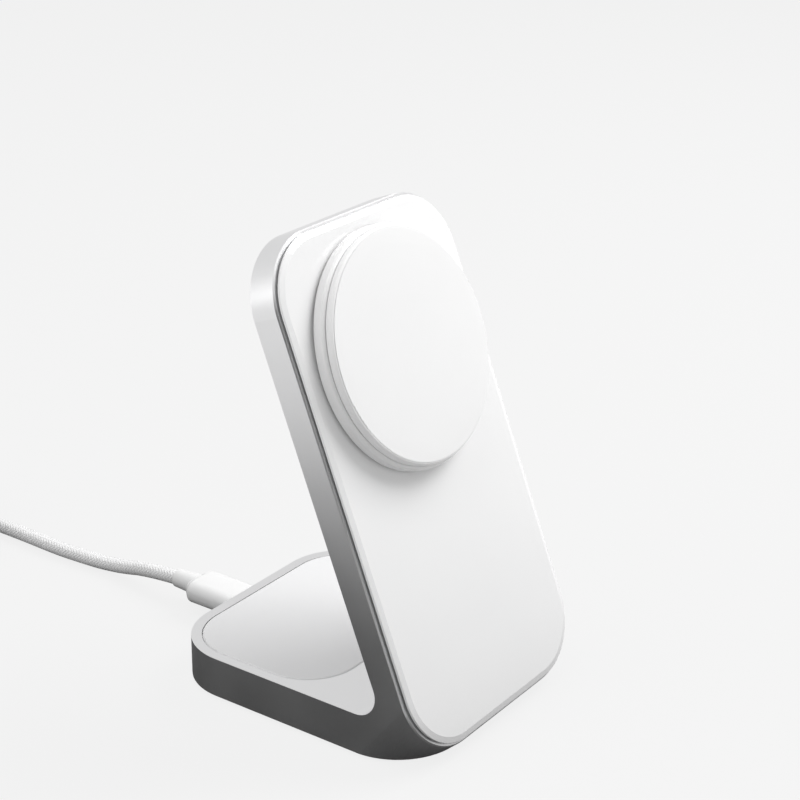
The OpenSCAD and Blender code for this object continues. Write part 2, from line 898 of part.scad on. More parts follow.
module foot_pad() {
    foot_l = base_d - foot_inset - foot_y;
    color(black)
        stand()
            translate([0, foot_y + foot_l / 2, -foot_t])
                linear_extrude(foot_t)
                    round_rect(body_w - 2 * foot_inset, foot_l, corner_r - foot_inset);
}

// A plug points along -Y, with the front of its grip at the origin
module tip() {
    color(steel)
        rotate([90, 0, 0])
            difference() {
                linear_extrude(tip_l)
                    stadium(tip_w, tip_h);
                translate([0, 0, tip_h / 4])
                    linear_extrude(tip_l)
                        stadium(tip_in_w, tip_in_h);
            }
}

module grip() {
    color(white)
        rotate([-90, 0, 0])
            bevelled_plate(plug_w, plug_h, plug_r, plug_l, plug_bevel, plug_bevel);
}

module strain_collar() {
    color(white)
        translate([0, plug_l, 0])
            rotate([-90, 0, 0])
                cylinder(r1 = strain_r1, r2 = strain_r2, h = strain_l, $fn = 64);
}

module near_plug() {
    translate([0, rear_y + plug_gap, plug_z])
        children();
}

// The far plug lies on top of the coiled lead, in line with the end of its innermost turn
module far_plug() {
    translate([coil_x, coil_y, coil_tall + plug_h / 2])
        rotate([0, 0, far_plug_at])
            translate([far_plug_r, 0, 0])
                rotate([0, 0, 180])
                    translate([0, -plug_l - strain_l, 0])
                        children();
}

function unit(v) = v / norm(v);
function tangent(path, i) = unit(path[min(i + 1, len(path) - 1)] - path[max(i - 1, 0)]);
function ring(p, t, side, r) = let (up = cross(side, t))
    [for (k = [0:7]) p + r * (cos(k * 45) * side + sin(k * 45) * up)];
function ease(u) = u * u * (3 - 2 * u);

// A tube of eight sides along a path, its ends square to it; each ring starts at its own side
module tube(path, sides, r) {
    rings = [for (i = [0:len(path) - 1]) ring(path[i], tangent(path, i), sides[i], r)];
    last = 8 * (len(path) - 1);
    polyhedron(
        points = [for (r = rings) each r],
        faces = concat(
            [[for (k = [0:7]) k]],
            [for (i = [0:len(path) - 2], k = [0:7])
                [8 * i + k, 8 * i + 8 + k, 8 * i + 8 + (k + 1) % 8, 8 * i + (k + 1) % 8]],
            [[for (k = [7:-1:0]) last + k]]),
        convexity = 4);
}

module cord_tube(path) {
    color(white)
        tube(path, [for (i = [0:len(path) - 1]) unit(cross(tangent(path, i), [0, 0, 1]))], cord_r);
}

// The loose stretch of the lead, from the plug in the stand to the coil
module lead_run() {
    cord_tube(concat([cord_start], cord_points));
}

// The end of the lead, which rises from the innermost turn to the far plug
module lead_end() {
    low = coil_tall - cord_r;
    high = coil_tall + plug_h / 2;
    cord_tube([for (u = [0:0.1:1]) let (a = far_plug_at - rise_angle * (1 - u))
        [coil_x + far_plug_r * cos(a), coil_y + far_plug_r * sin(a), low + (high - low) * ease(u)]]);
}

module coil_outline(grow = 0) {
    translate([coil_mid_r, coil_tall / 2])
        round_rect(coil_rows * cord_d + 2 * grow, coil_tall + 2 * grow, coil_round + grow);
}

// The coiled lead, lifted by the thickness of the tie where it passes over it
module lead_coil() {
    color(white)
        translate([coil_x, coil_y, 0])
            rotate([0, 0, tie_at - tie_angle / 2]) {
                translate([0, 0, tie_t])
                    rotate_extrude(angle = tie_angle)
                        coil_outline();
                rotate([0, 0, tie_angle - coil_overlap])
                    rotate_extrude(angle = 360 - tie_angle + 2 * coil_overlap)
                        coil_outline();
            }
}

module lead_tie() {
    color(black)
        translate([coil_x, coil_y, tie_t])
            rotate([0, 0, tie_at - tie_angle / 2 + coil_overlap])
                rotate_extrude(angle = tie_angle - 2 * coil_overlap)
                    difference() {
                        coil_outline(tie_t);
                        coil_outline();
                    }
}

module plug_tip() {
    near_plug() tip();
}

module plug_grip() {
    near_plug() grip();
}

module plug_strain_collar() {
    near_plug() strain_collar();
}

module far_plug_tip() {
    far_plug() tip();
}

module far_plug_grip() {
    far_plug() grip();
}

module far_plug_strain_collar() {
    far_plug() strain_collar();
}

body();
front_plate();
plate_adhesive();
puck_collar();
puck_housing();
puck_pad();
charging_coil();
coil_shield();
magnet_yoke();
alignment_magnets();
puck_board();
puck_screws();
base_plate();
base_plate_film();
ballast_weight();
power_board();
board_screws();
socket_shell();
socket_tongue();
inner_lead();
bottom_cover();
cover_screws();
foot_pad();
plug_tip();
plug_grip();
plug_strain_collar();
lead_run();
lead_coil();
lead_end();
lead_tie();
far_plug_strain_collar();
far_plug_grip();
far_plug_tip();
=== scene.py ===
import math

import bpy
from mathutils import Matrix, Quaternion, Vector


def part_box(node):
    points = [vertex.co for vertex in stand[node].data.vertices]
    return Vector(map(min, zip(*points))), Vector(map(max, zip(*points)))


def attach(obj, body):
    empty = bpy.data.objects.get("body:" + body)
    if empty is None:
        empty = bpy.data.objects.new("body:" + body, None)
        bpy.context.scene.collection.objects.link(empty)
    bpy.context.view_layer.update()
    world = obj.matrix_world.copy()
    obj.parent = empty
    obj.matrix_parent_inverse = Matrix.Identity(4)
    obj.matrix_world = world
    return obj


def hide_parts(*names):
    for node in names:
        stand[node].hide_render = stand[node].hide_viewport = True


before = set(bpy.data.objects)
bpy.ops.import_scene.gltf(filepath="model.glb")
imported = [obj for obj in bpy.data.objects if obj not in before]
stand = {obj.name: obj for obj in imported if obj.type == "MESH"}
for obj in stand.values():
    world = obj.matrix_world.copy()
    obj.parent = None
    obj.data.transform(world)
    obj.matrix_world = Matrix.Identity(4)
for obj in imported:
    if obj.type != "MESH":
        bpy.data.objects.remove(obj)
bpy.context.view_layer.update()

MM = 0.001

# Camera, at the photograph's viewing angle

CAMERA_AT = Vector((-0.33787, -0.24718, 0.24511))
CAMERA_LOOKS = Vector((0.752356, 0.534773, -0.384680))
CAMERA_ROLL = 0.526
CAMERA_LENS = 89.383
SENSOR_WIDTH = 36.0
NEAR_CLIP = 0.01


def place_camera():
    lens = bpy.data.cameras.new("photo_camera")
    lens.lens = CAMERA_LENS
    lens.sensor_width = SENSOR_WIDTH
    lens.clip_start = NEAR_CLIP
    camera = bpy.data.objects.new("photo_camera", lens)
    bpy.context.scene.collection.objects.link(camera)
    camera.location = CAMERA_AT
    roll = Quaternion((0, 0, 1), math.radians(CAMERA_ROLL))
    camera.rotation_mode = "QUATERNION"
    camera.rotation_quaternion = CAMERA_LOOKS.to_track_quat("-Z", "Y") @ roll
    bpy.context.scene.camera = camera


place_camera()

# Materials

# The way that the puck faces, and the level along it of the pad's underside, below which the
# pad is painted near black as shade in the line round the puck
PUCK_AXIS = (0.0, -0.928486, 0.371368)
PAD_UNDERSIDE = 0.04053

# The lead's thickness in millimetres, its strands each way round, and the fibres in a strand
STRAND = 3.8
LEAD_D = STRAND * MM
BRAID_STRANDS = 12
FIBRES = 4


class Recipe:
    """A procedural material on the piece's own object coordinates, built node by node."""

    def __init__(self, name, roughness, metallic=0.0, **sockets):
        self.material = bpy.data.materials.new(name)
        self.material.use_nodes = True
        self.tree = self.material.node_tree
        self.shader = self.tree.nodes["Principled BSDF"]
        self.shader.inputs["Roughness"].default_value = roughness
        self.shader.inputs["Metallic"].default_value = metallic
        for socket, value in sockets.items():
            self.shader.inputs[socket.replace("_", " ")].default_value = value
        self.place = self.tree.nodes.new("ShaderNodeTexCoord").outputs["Object"]

    def plug(self, value, socket):
        if isinstance(value, bpy.types.NodeSocket):
            self.tree.links.new(value, socket)
        else:
            socket.default_value = value

    def stretched(self, scale):
        node = self.tree.nodes.new("ShaderNodeMapping")
        node.inputs["Scale"].default_value = scale
        self.plug(self.place, node.inputs["Vector"])
        return node.outputs["Vector"]

    def noise(self, scale, detail=3.0, place=None):
        node = self.tree.nodes.new("ShaderNodeTexNoise")
        node.inputs["Scale"].default_value = scale
        node.inputs["Detail"].default_value = detail
        self.plug(place or self.place, node.inputs["Vector"])
        return node.outputs["Fac"]

    def cells(self, scale, place=None):
        node = self.tree.nodes.new("ShaderNodeTexVoronoi")
        node.inputs["Scale"].default_value = scale
        self.plug(place or self.place, node.inputs["Vector"])
        return node.outputs["Distance"]

    def math(self, kind, first, second=0.0):
        node = self.tree.nodes.new("ShaderNodeMath")
        node.operation = kind
        self.plug(first, node.inputs[0])
        self.plug(second, node.inputs[1])
        return node.outputs[0]

    def spread(self, value, low, high, from_low=0.3, from_high=0.7):
        node = self.tree.nodes.new("ShaderNodeMapRange")
        for socket, number in (("From Min", from_low), ("From Max", from_high),
                               ("To Min", low), ("To Max", high)):
            self.plug(number, node.inputs[socket])
        self.plug(value, node.inputs["Value"])
        return node.outputs["Result"]

    def blend(self, share, first, second):
        node = self.tree.nodes.new("ShaderNodeMix")
        node.data_type = "RGBA"
        self.plug(share, node.inputs["Factor"])
        ends = [socket for socket in node.inputs if socket.type == "RGBA"]
        for socket, colour in zip(ends, (first, second)):
            given = isinstance(colour, bpy.types.NodeSocket)
            self.plug(colour if given else (*colour, 1.0), socket)
        return [socket for socket in node.outputs if socket.type == "RGBA"][0]

    def colour(self, value):
        self.plug(value, self.shader.inputs["Base Color"])

    def rough(self, value):
        self.plug(value, self.shader.inputs["Roughness"])

    def bump(self, height, depth):
        node = self.tree.nodes.new("ShaderNodeBump")
        node.inputs["Strength"].default_value = 1.0
        node.inputs["Distance"].default_value = depth
        self.plug(height, node.inputs["Height"])
        self.plug(node.outputs["Normal"], self.shader.inputs["Normal"])


def grained(name, pale, deep, rough, rough_spread, grain, depth, cloud, metallic=0.0,
            stretch=None, **sockets):
    """A finish whose colour and gloss wander a little, under a fine grain."""
    made = Recipe(name, rough, metallic, **sockets)
    clouds = made.noise(cloud, 4.0)
    made.colour(made.blend(made.spread(clouds, 0.0, 1.0), pale, deep))
    made.rough(made.spread(made.noise(cloud * 3.1, 3.0), rough - rough_spread,
                           rough + rough_spread))
    place = made.stretched(stretch) if stretch else None
    made.bump(made.noise(grain, 2.0, place), depth)
    return made.material


def braid():
    """Two sets of strands that cross on the slant, two over and two under, painted darker down
    in their grooves as shade.
    """
    made = Recipe("white_braid", 0.62, Sheen_Weight=0.25, Sheen_Roughness=0.5)
    uv = made.tree.nodes.new("ShaderNodeUVMap")
    uv.uv_map = "braid"
    split = made.tree.nodes.new("ShaderNodeSeparateXYZ")
    made.plug(uv.outputs["UV"], split.inputs[0])
    around = made.math("MULTIPLY", split.outputs["X"], float(BRAID_STRANDS))
    along = split.outputs["Y"]
    right = made.math("ADD", along, around)
    left = made.math("SUBTRACT", along, around)
    step = made.math("SUBTRACT", made.math("FLOOR", right), made.math("FLOOR", left))
    turn = made.math("FLOORED_MODULO", step, 4.0)
    right_on_top = made.math("LESS_THAN", turn, 1.5)

    def crown(value):
        return made.math("SINE", made.math("MULTIPLY", made.math("FRACT", value), math.pi))

    def fibres(value):
        wave = made.math("SINE", made.math("MULTIPLY", value, 2 * math.pi * FIBRES))
        return made.math("MULTIPLY", wave, 0.12)

    right_height = made.math("ADD", crown(right), fibres(right))
    left_height = made.math("ADD", crown(left), fibres(left))
    under = made.math("SUBTRACT", 1.0, right_on_top)
    height = made.math("ADD", made.math("MULTIPLY", right_height, right_on_top),
                       made.math("MULTIPLY", left_height, under))
    # Painted shade: the strands are coloured darker where they dip into the grooves between
    # them.
    shade = made.spread(height, 0.0, 1.0, 0.15, 0.75)
    body = made.blend(shade, (0.73, 0.73, 0.74), (0.92, 0.92, 0.92))
    dust_and_groove_shade = made.blend(made.spread(made.noise(160.0), 0.0, 0.12), body, (0.72, 0.71, 0.70))
    made.colour(dust_and_groove_shade)
    made.rough(made.spread(height, 0.75, 0.55, 0.0, 1.0))
    made.bump(height, 0.00009)
    return made.material


def circuit_board():
    """Green solder mask over fine copper tracks, with tinned pads."""
    made = Recipe("circuit_board_green", 0.32, Specular_IOR_Level=0.6)
    tracks = made.tree.nodes.new("ShaderNodeTexBrick")
    tracks.inputs["Scale"].default_value = 420.0
    tracks.inputs["Mortar Size"].default_value = 0.05
    tracks.offset = 0.37
    made.plug(made.place, tracks.inputs["Vector"])
    lines = tracks.outputs["Fac"]
    mask = made.blend(made.spread(made.noise(300.0), 0.0, 1.0), (0.012, 0.10, 0.045),
                      (0.02, 0.14, 0.06))
    tracked = made.blend(made.math("MULTIPLY", lines, 0.55), mask, (0.05, 0.26, 0.10))
    pads = made.math("LESS_THAN", made.cells(560.0), 0.16)
    made.colour(made.blend(pads, tracked, (0.55, 0.54, 0.50)))
    made.rough(made.spread(made.noise(900.0), 0.28, 0.4))
    made.bump(made.math("ADD", lines, pads), 0.00002)
    return made.material


def wound_copper():
    """Strands of enamelled wire, laid side by side round the puck."""
    made = Recipe("enamelled_copper", 0.3, 1.0)
    strands = made.cells(2600.0)
    made.colour(made.blend(made.spread(strands, 0.0, 1.0, 0.1, 0.7), (0.72, 0.33, 0.13),
                           (0.40, 0.15, 0.05)))
    made.rough(made.spread(made.noise(500.0), 0.24, 0.4))
    made.bump(strands, 0.00005)
    return made.material


def woven_strap():
    """A narrow hook and loop strap: rows of short black loops."""
    made = Recipe("black_strap_weave", 0.85, Sheen_Weight=0.4, Sheen_Roughness=0.4)
    loops = made.cells(1700.0, made.stretched((1.0, 1.0, 1.6)))
    fuzz = made.noise(5200.0, 3.0)
    made.colour(made.blend(made.spread(loops, 0.0, 1.0, 0.1, 0.7), (0.035, 0.035, 0.037),
                           (0.008, 0.008, 0.009)))
    made.rough(made.spread(fuzz, 0.78, 0.92))
    made.bump(made.math("ADD", loops, made.math("MULTIPLY", fuzz, 0.4)), 0.0002)
    return made.material


def soft_pad():
    """Soft white facing, with its lower part painted near black as shade in the line round the
    puck.
    """
    made = Recipe("soft_white_pad", 0.50, Specular_IOR_Level=0.3, Sheen_Weight=0.04)
    clouds = made.spread(made.noise(50.0, 4.0), 0.0, 1.0)
    facing = made.blend(clouds, (0.86, 0.86, 0.86), (0.845, 0.845, 0.845))
    level = made.tree.nodes.new("ShaderNodeVectorMath")
    level.operation = "DOT_PRODUCT"
    made.plug(made.place, level.inputs[0])
    level.inputs[1].default_value = PUCK_AXIS
    # Painted shade: below this level the pad is coloured near black, so the gap round the puck
    # reads dark.
    painted_gap_shade = made.math("LESS_THAN", level.outputs["Value"], PAD_UNDERSIDE)
    made.colour(made.blend(painted_gap_shade, facing, (0.03, 0.03, 0.03)))
    made.rough(made.spread(made.noise(155.0), 0.43, 0.49))
    made.bump(made.noise(6000.0, 2.0), 0.000004)
    return made.material


ALUMINIUM = grained("bead_blasted_aluminium", (0.82, 0.82, 0.825), (0.79, 0.79, 0.795),
                    rough=0.32, rough_spread=0.02, grain=5200.0, depth=0.000012, cloud=26.0,
                    metallic=1.0)
PLATE_WHITE = grained("gloss_white_plate", (0.885, 0.885, 0.885), (0.87, 0.87, 0.872),
                      rough=0.10, rough_spread=0.015, grain=900.0, depth=0.0000008, cloud=30.0)
BASE_WHITE = grained("gloss_base_plate", (0.765, 0.765, 0.77), (0.745, 0.745, 0.75),
                     rough=0.13, rough_spread=0.02, grain=900.0, depth=0.000001, cloud=34.0,
                     Coat_Weight=0.3, Coat_Roughness=0.05)
HOUSING_WHITE = grained("puck_housing_white", (0.84, 0.84, 0.84), (0.82, 0.82, 0.82),
                        rough=0.24, rough_spread=0.03, grain=3600.0, depth=0.000003, cloud=60.0,
                        Coat_Weight=0.1)
PAD_WHITE = soft_pad()
PLUG_WHITE = grained("satin_white_plug", (0.82, 0.82, 0.82), (0.80, 0.80, 0.798),
                     rough=0.38, rough_spread=0.04, grain=4200.0, depth=0.000005, cloud=160.0)
FOAM_BLACK = grained("black_foam_tape", (0.09, 0.09, 0.092), (0.06, 0.06, 0.062),
                     rough=0.9, rough_spread=0.05, grain=2400.0, depth=0.00006, cloud=400.0)
COLLAR_DARK = grained("dark_collar_plastic", (0.07, 0.07, 0.074), (0.05, 0.05, 0.053),
                      rough=0.5, rough_spread=0.06, grain=3000.0, depth=0.00001, cloud=120.0)
COVER_DARK = grained("spark_textured_cover", (0.045, 0.045, 0.048), (0.03, 0.03, 0.032),
                     rough=0.62, rough_spread=0.05, grain=1500.0, depth=0.00003, cloud=90.0)
LEAD_BLACK = grained("inner_lead_jacket", (0.03, 0.03, 0.032), (0.02, 0.02, 0.021),
                     rough=0.55, rough_spread=0.05, grain=2600.0, depth=0.00001, cloud=200.0)
FOOT_RUBBER = grained("fine_grained_rubber", (0.035, 0.035, 0.036), (0.024, 0.024, 0.025),
                      rough=0.82, rough_spread=0.06, grain=2000.0, depth=0.00005, cloud=110.0)
FERRITE = grained("sintered_ferrite", (0.05, 0.05, 0.052), (0.03, 0.03, 0.03),
                  rough=0.7, rough_spread=0.08, grain=1400.0, depth=0.00003, cloud=260.0)
ZINC_STEEL = grained("zinc_plated_steel", (0.60, 0.60, 0.61), (0.52, 0.53, 0.55),
                     rough=0.34, rough_spread=0.06, grain=1800.0, depth=0.00001, cloud=120.0,
                     metallic=1.0)
NICKEL = grained("nickel_plated_magnet", (0.66, 0.65, 0.63), (0.60, 0.595, 0.58),
                 rough=0.16, rough_spread=0.05, grain=2200.0, depth=0.000003, cloud=150.0,
                 metallic=1.0)
PLUG_METAL = grained("drawn_plug_metal", (0.70, 0.70, 0.71), (0.63, 0.63, 0.65),
                     rough=0.24, rough_spread=0.05, grain=2600.0, depth=0.000008, cloud=140.0,
                     metallic=1.0, stretch=(1.0, 0.04, 1.0))
CAST_WEIGHT = grained("cast_ballast", (0.34, 0.34, 0.35), (0.26, 0.26, 0.27),
                      rough=0.58, rough_spread=0.08, grain=900.0, depth=0.00006, cloud=70.0,
                      metallic=1.0)
BRAID_WHITE = braid()
BOARD_GREEN = circuit_board()
COPPER = wound_copper()
STRAP_BLACK = woven_strap()

FINISHES = {
    "body": ALUMINIUM, "front_plate": PLATE_WHITE, "plate_adhesive": FOAM_BLACK,
    "puck_collar": COLLAR_DARK, "puck_housing": HOUSING_WHITE, "puck_pad": PAD_WHITE,
    "charging_coil": COPPER, "coil_shield": FERRITE, "magnet_yoke": ZINC_STEEL,
    "alignment_magnets": NICKEL, "puck_board": BOARD_GREEN, "puck_screws": ZINC_STEEL,
    "base_plate": BASE_WHITE, "base_plate_film": FOAM_BLACK, "ballast_weight": CAST_WEIGHT,
    "power_board": BOARD_GREEN, "board_screws": ZINC_STEEL, "socket_shell": ZINC_STEEL,
    "socket_tongue": COLLAR_DARK, "inner_lead": LEAD_BLACK, "bottom_cover": COVER_DARK,
    "cover_screws": ZINC_STEEL, "foot_pad": FOOT_RUBBER, "plug_tip": PLUG_METAL,
    "plug_grip": PLUG_WHITE, "plug_strain_collar": PLUG_WHITE, "lead_run": BRAID_WHITE,
    "lead_coil": BRAID_WHITE, "lead_end": BRAID_WHITE, "lead_tie": STRAP_BLACK,
    "far_plug_strain_collar": PLUG_WHITE, "far_plug_grip": PLUG_WHITE,
    "far_plug_tip": PLUG_METAL,
}
for node_name, finish in FINISHES.items():
    slots = stand[node_name].material_slots
    if not slots:
        stand[node_name].data.materials.append(finish)
    for slot in slots:
        slot.material = finish

# The braided lead: the loose run from the plug, the coil, and the rise to the far plug

LEAD_START = (0, 61.584, 5.4)
LEAD_RUN = [
    (0, 66, 5.1), (0, 71, 4.6), (0, 76, 3.9), (-0.2, 81, 2.9), (-0.5, 86, 2.3), (-0.8, 91, 2),
    (-1.1, 97, 1.9), (-1.4, 103, 1.9), (-1.3, 109, 1.9), (-1.1, 115, 1.9), (-1, 121, 1.9),
    (-1, 128, 1.9), (-1, 135, 1.9), (-1, 142, 1.9),
]
COIL_X, COIL_Y = -24.0, 149.0
COIL_COLUMNS = (23.0, 19.2, 15.4)
LAYERS = 4
FULL_TURN = 360
TURN_STEP = 3
# Where in each turn the strands move up or inwards, in degrees: the inner ones make room first
INNER_UP = (40, 105)
MIDDLE_IN = (95, 155)
MIDDLE_DOWN = (150, 205)
OUTER_IN = (195, 250)
OUTER_UP = (245, 310)
# The turns ride over the tie's lower strap between these angles
TIE_LIFT = 0.8
TIE_RAMP = (165, 187, 213, 235)
# The last turn rises between these angles to the far plug's own height
LAST_STRETCH = 20
RISE_TO = 90
PLUG_AXIS_Z = 18.2
RUN_STEPS = 12
RING_STEP = 3.0
RING_SIDES = 20


def ease(share):
    share = min(1.0, max(0.0, share))
    return share * share * (3 - 2 * share)


def within(angle, window):
    return ease((angle - window[0]) / (window[1] - window[0]))


def coil_point(radius, angle, height):
    a = math.radians(angle)
    low, full, keep, done = TIE_RAMP
    turned = angle % FULL_TURN
    lift = TIE_LIFT * min(within(turned, (low, full)), 1 - within(turned, (keep, done)))
    return (COIL_X + radius * math.cos(a), COIL_Y + radius * math.sin(a), height + lift)


def wound_turns():
    """The turns of the coil, up the outer column, down the middle one and up the inner one."""
    outer, middle, inner = COIL_COLUMNS
    low = STRAND / 2
    top = low + (LAYERS - 1) * STRAND
    points = []
    for turn in range(LAYERS):
        for angle in range(0, FULL_TURN, TURN_STEP):
            if turn < LAYERS - 1:
                height = low + STRAND * (turn + within(angle, OUTER_UP))
                points.append(coil_point(outer, angle, height))
            else:
                radius = outer - STRAND * within(angle, OUTER_IN)
                points.append(coil_point(radius, angle, top))
    for turn in range(LAYERS):
        for angle in range(0, FULL_TURN, TURN_STEP):
            if turn < LAYERS - 1:
                height = top - STRAND * (turn + within(angle, MIDDLE_DOWN))
                points.append(coil_point(middle, angle, height))
            else:
                radius = middle - STRAND * within(angle, MIDDLE_IN)
                points.append(coil_point(radius, angle, low))
    for turn in range(LAYERS - 1):
        for angle in range(0, FULL_TURN, TURN_STEP):
            height = low + STRAND * (turn + within(angle, INNER_UP))
            points.append(coil_point(inner, angle, height))
    for angle in range(0, RISE_TO + 1, TURN_STEP):
        height = top + (PLUG_AXIS_Z - top) * within(angle, (LAST_STRETCH, RISE_TO))
        points.append(coil_point(inner, angle, height))
    return points


def smooth_run(points):
    """A smooth line through the points, by Catmull and Rom's rule."""
    line = [Vector(p) for p in points]
    ends = [2 * line[0] - line[1]] + line + [line[-1] + (line[-1] - line[-2])]
    made = []
    for a, b, c, d in zip(ends, ends[1:], ends[2:], ends[3:]):
        for i in range(RUN_STEPS):
            t = i / RUN_STEPS
            made.append(0.5 * (2 * b + (c - a) * t + (2 * a - 5 * b + 4 * c - d) * t * t
                               + (3 * b - a - 3 * c + d) * t ** 3))
    return made


def evenly(points, step):
    """The same line with its points a step apart."""
    reach = [0.0]
    for a, b in zip(points, points[1:]):
        reach.append(reach[-1] + (b - a).length)
    count = round(reach[-1] / step)
    made, k = [], 0
    for i in range(count + 1):
        want = reach[-1] * i / count
        while k < len(reach) - 2 and reach[k + 1] < want:
            k += 1
        share = (want - reach[k]) / max(reach[k + 1] - reach[k], 1e-9)
        made.append(points[k].lerp(points[k + 1], share))
    return made


def lead_centres():
    coil = wound_turns()
    run = smooth_run([LEAD_START, *LEAD_RUN, coil[0]])
    line = run + [Vector(p) for p in coil]
    return [p * MM for p in evenly(line, RING_STEP)]


def braided_tube(name, centres, diameter):
    """A closed tube round the centres, with a map that runs round it and along it."""
    r = diameter / 2
    around = math.pi * diameter
    tangents = [(centres[min(i + 1, len(centres) - 1)] - centres[max(i - 1, 0)]).normalized()
                for i in range(len(centres))]
    side = tangents[0].cross(Vector((0, 0, 1))).normalized()
    points, faces, runs, run = [], [], [], 0.0
    for i, (centre, tangent) in enumerate(zip(centres, tangents)):
        side = (side - tangent * side.dot(tangent)).normalized()
        up = side.cross(tangent)
        run += (centre - centres[i - 1]).length if i else 0.0
        runs.append(run / around * BRAID_STRANDS)
        for k in range(RING_SIDES):
            a = 2 * math.pi * k / RING_SIDES
            points.append(centre + r * (math.cos(a) * side + math.sin(a) * up))
    corners = []
    for i in range(len(centres) - 1):
        for k in range(RING_SIDES):
            n = (k + 1) % RING_SIDES
            here, there = i * RING_SIDES, (i + 1) * RING_SIDES
            faces.append((here + k, there + k, there + n, here + n))
            corners += [(k / RING_SIDES, runs[i]), (k / RING_SIDES, runs[i + 1]),
                        ((k + 1) / RING_SIDES, runs[i + 1]), ((k + 1) / RING_SIDES, runs[i])]
    last = (len(centres) - 1) * RING_SIDES
    faces.append(tuple(range(RING_SIDES)))
    faces.append(tuple(last + k for k in range(RING_SIDES - 1, -1, -1)))
    corners += [(k / RING_SIDES, 0.0) for k in range(RING_SIDES)]
    corners += [(k / RING_SIDES, runs[-1]) for k in range(RING_SIDES - 1, -1, -1)]
    mesh = bpy.data.meshes.new(name)
    mesh.from_pydata(points, [], faces)
    layer = mesh.uv_layers.new(name="braid")
    for loop, corner in enumerate(corners):
        layer.data[loop].uv = corner
    for face in mesh.polygons:
        face.use_smooth = len(face.vertices) == 4
    mesh.update()
    piece = bpy.data.objects.new(name, mesh)
    bpy.context.scene.collection.objects.link(piece)
    return piece


# Pieces made again from the solids, with edges rounded as the moulded and machined ones are

MERGE_WITHIN = 0.002 * MM
FLAT_WITHIN = math.radians(0.4)
SHARP_FROM = math.radians(20)
# An edge is shaded smooth below these angles, and the plates' sloped borders stay crisp
PLATE_SMOOTH = math.radians(8.0)
PLUG_SMOOTH = math.radians(24.0)
FRONT_ROUND = 0.10 * MM
BASE_ROUND = 0.08 * MM
PLATE_STEPS = 2
# The dish in the puck's facing, and the share of its floor's radius that is kept
DISH_DEPTH = 0.1 * MM
DISH_SLACK = 0.03 * MM
DISH_EASE = 0.55
# The band of points of the grip's own bevel, measured from its rear end
SHOULDER_FROM, SHOULDER_TO = 0.1 * MM, 1.0 * MM
SHOULDER_PUSH = 1.1 * MM
CAP_SHARE = 0.80
GRIP_ROUND = 1.1 * MM
GRIP_STEPS = 5
# The collar grows both ways from a level this far behind the grip's rear end
COLLAR_STRETCH = 1.54
COLLAR_KEEPS = 2.96 * MM
COLLAR_ROUND = 0.25 * MM
COLLAR_STEPS = 3
# The plugs' long directions, as an axis number
ACROSS, REARWARD = 0, 1


def merged_copy(node, name):
    """The CAD piece's mesh again, its loose triangles merged into clean faces."""
    bpy.ops.object.select_all(action="DESELECT")
    mesh = stand[node].data.copy()
    mesh.name = name
    piece = bpy.data.objects.new(name, mesh)
    bpy.context.scene.collection.objects.link(piece)
    piece.select_set(True)
    bpy.context.view_layer.objects.active = piece
    bpy.ops.object.mode_set(mode="EDIT")
    bpy.ops.mesh.select_mode(type="VERT")
    bpy.ops.mesh.select_all(action="SELECT")
    bpy.ops.mesh.customdata_custom_splitnormals_clear()
    bpy.ops.mesh.remove_doubles(threshold=MERGE_WITHIN)
    bpy.ops.mesh.dissolve_limited(angle_limit=FLAT_WITHIN)
    bpy.ops.object.mode_set(mode="OBJECT")
    return piece


def pick(piece, wanted):
    """Edit mode, with the points selected that the test wants."""
    bpy.ops.object.mode_set(mode="EDIT")
    bpy.ops.mesh.select_all(action="DESELECT")
    bpy.ops.object.mode_set(mode="OBJECT")
    picked = [point for point in piece.data.vertices if wanted(point.co)]
    for point in picked:
        point.select = True
    bpy.ops.object.mode_set(mode="EDIT")
    return picked


def resize(centre, factors):
    """Scale what is selected about the centre, and leave edit mode."""
    bpy.ops.transform.resize(value=factors, center_override=centre)
    bpy.ops.object.mode_set(mode="OBJECT")


def round_edges(piece, width, steps, smooth):
    bevel = piece.modifiers.new("rounded_edges", "BEVEL")
    bevel.width = width
    bevel.segments = steps
    bevel.limit_method = "ANGLE"
    bevel.angle_limit = SHARP_FROM
    bpy.ops.object.modifier_apply(modifier=bevel.name)
    bpy.ops.object.shade_smooth_by_angle(angle=smooth)


def stand_in(piece, node):
    """Give the piece the node's finish and let it take the node's place."""
    piece.data.materials.clear()
    piece.data.materials.append(FINISHES[node])
    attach(piece, "root")
    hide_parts(node)
    return piece


def softened_plate(node, name, width):
    """A plate with a fine radius along its edges."""
    piece = merged_copy(node, name)
    round_edges(piece, width, PLATE_STEPS, PLATE_SMOOTH)
    return stand_in(piece, node)


def eased_pad():
    """The puck's facing, its dish so gentle that only a faint shade shows it."""
    piece = merged_copy("puck_pad", "puck_pad_facing")
    axis = Vector(PUCK_AXIS)
    face = max(axis.dot(point.co) for point in piece.data.vertices)
    low, high = face - DISH_DEPTH - DISH_SLACK, face - DISH_DEPTH + DISH_SLACK
    floor = pick(piece, lambda place: low < axis.dot(place) < high)
    middle = sum((point.co for point in floor), Vector()) / len(floor)
    resize(middle, (DISH_EASE,) * 3)
    bpy.ops.object.shade_smooth_by_angle(angle=PLATE_SMOOTH)
    return stand_in(piece, "puck_pad")


def moulded_grip(node, name, along):
    """A plug's grip with full round shoulders at the end that the lead leaves."""
    piece = merged_copy(node, name)
    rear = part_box(node)[1][along]
    pick(piece, lambda place: SHOULDER_FROM < rear - place[along] < SHOULDER_TO)
    push = [0.0, 0.0, 0.0]
    push[along] = -SHOULDER_PUSH
    bpy.ops.transform.translate(value=push)
    bpy.ops.object.mode_set(mode="OBJECT")
    cap = pick(piece, lambda place: rear - place[along] < SHOULDER_FROM)
    middle = sum((point.co for point in cap), Vector()) / len(cap)
    resize(middle, (CAP_SHARE,) * 3)
    round_edges(piece, GRIP_ROUND, GRIP_STEPS, PLUG_SMOOTH)
    return stand_in(piece, node)


